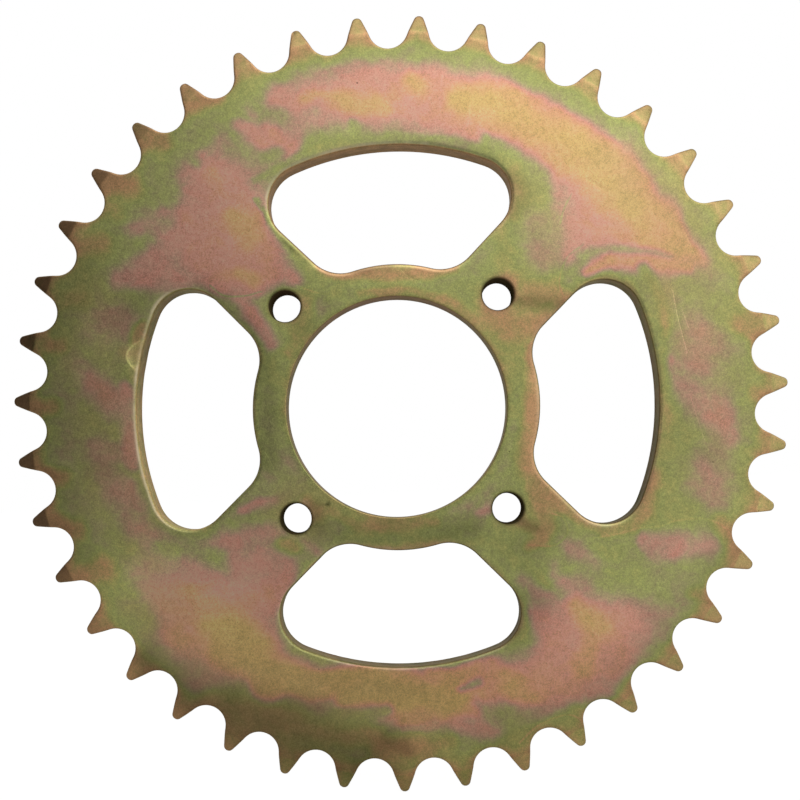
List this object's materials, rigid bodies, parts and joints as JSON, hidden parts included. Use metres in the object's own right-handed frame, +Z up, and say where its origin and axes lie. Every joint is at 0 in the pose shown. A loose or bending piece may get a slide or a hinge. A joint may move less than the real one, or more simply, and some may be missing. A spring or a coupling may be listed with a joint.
{
  "type": "rear sprocket",
  "caption": "Flat steel chain sprocket for a motorcycle rear wheel, with a round hub bore, bolt holes and lightening windows between the spokes.",
  "frame": {"origin": "centre of the hub bore, halfway through the plate's thickness", "axes": "+Y along the wheel axis, from the outer (bolt head) face towards the hub; +Z up; the bolt holes lie at 45 degrees to X and Z"},
  "size_m": [0.2052, 0.006, 0.2053],
  "materials": {
    "zinc_plated_steel": "yellow chromate over zinc, satin and faintly iridescent"
  },
  "bodies": {
    "root": {"sprocket_plate": "zinc_plated_steel"}
  },
  "joints": []
}
